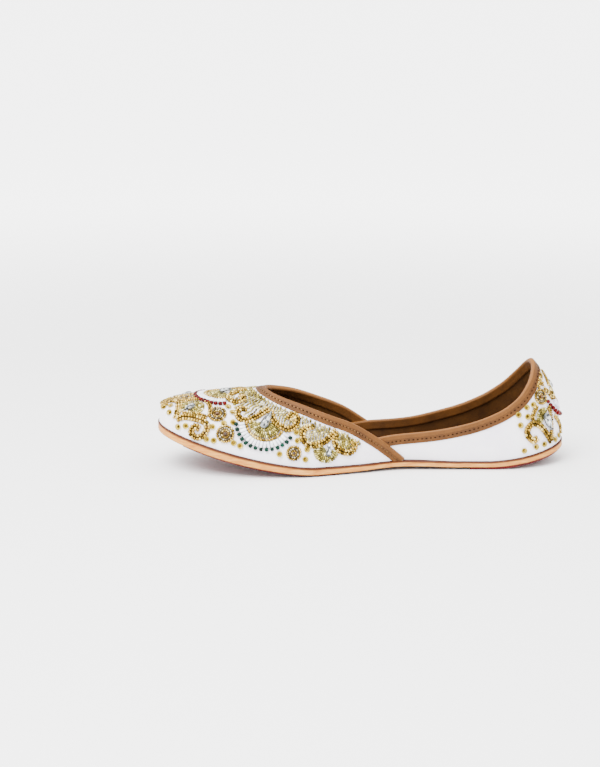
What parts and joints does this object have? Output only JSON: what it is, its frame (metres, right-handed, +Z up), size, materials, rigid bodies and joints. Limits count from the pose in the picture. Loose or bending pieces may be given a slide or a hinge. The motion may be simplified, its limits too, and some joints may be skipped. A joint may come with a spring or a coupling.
{
  "type": "mojari shoe",
  "caption": "Flat slip-on shoe with a low beaded satin vamp, a separate heel quarter rising to a point, leather edge bindings and a flat leather sole.",
  "frame": {"origin": "on the floor under the centre of the shoe's length and width", "axes": "+X towards the heel, +Y to one side, +Z up; the toe points along -X"},
  "size_m": [0.2516, 0.0816, 0.0631],
  "materials": {
    "sole_leather": "burnished vegetable-tanned leather",
    "pad_leather": "dyed red leather",
    "lining_leather": "smooth brown lining leather",
    "satin": "white satin over canvas",
    "binding_leather": "folded tan leather strip",
    "gold_beads": "gold-lined seed beads and sequins",
    "glass_beads": "opaque and silver-lined glass beads",
    "crystals": "clear faceted stones",
    "thread": "sewing thread"
  },
  "bodies": {
    "root": {"sole": "sole_leather", "forefoot_pad": "pad_leather", "heel_pad": "pad_leather", "insole": "lining_leather", "upper": "satin", "vamp_binding": "binding_leather", "quarter_binding": "binding_leather"}
  },
  "joints": []
}
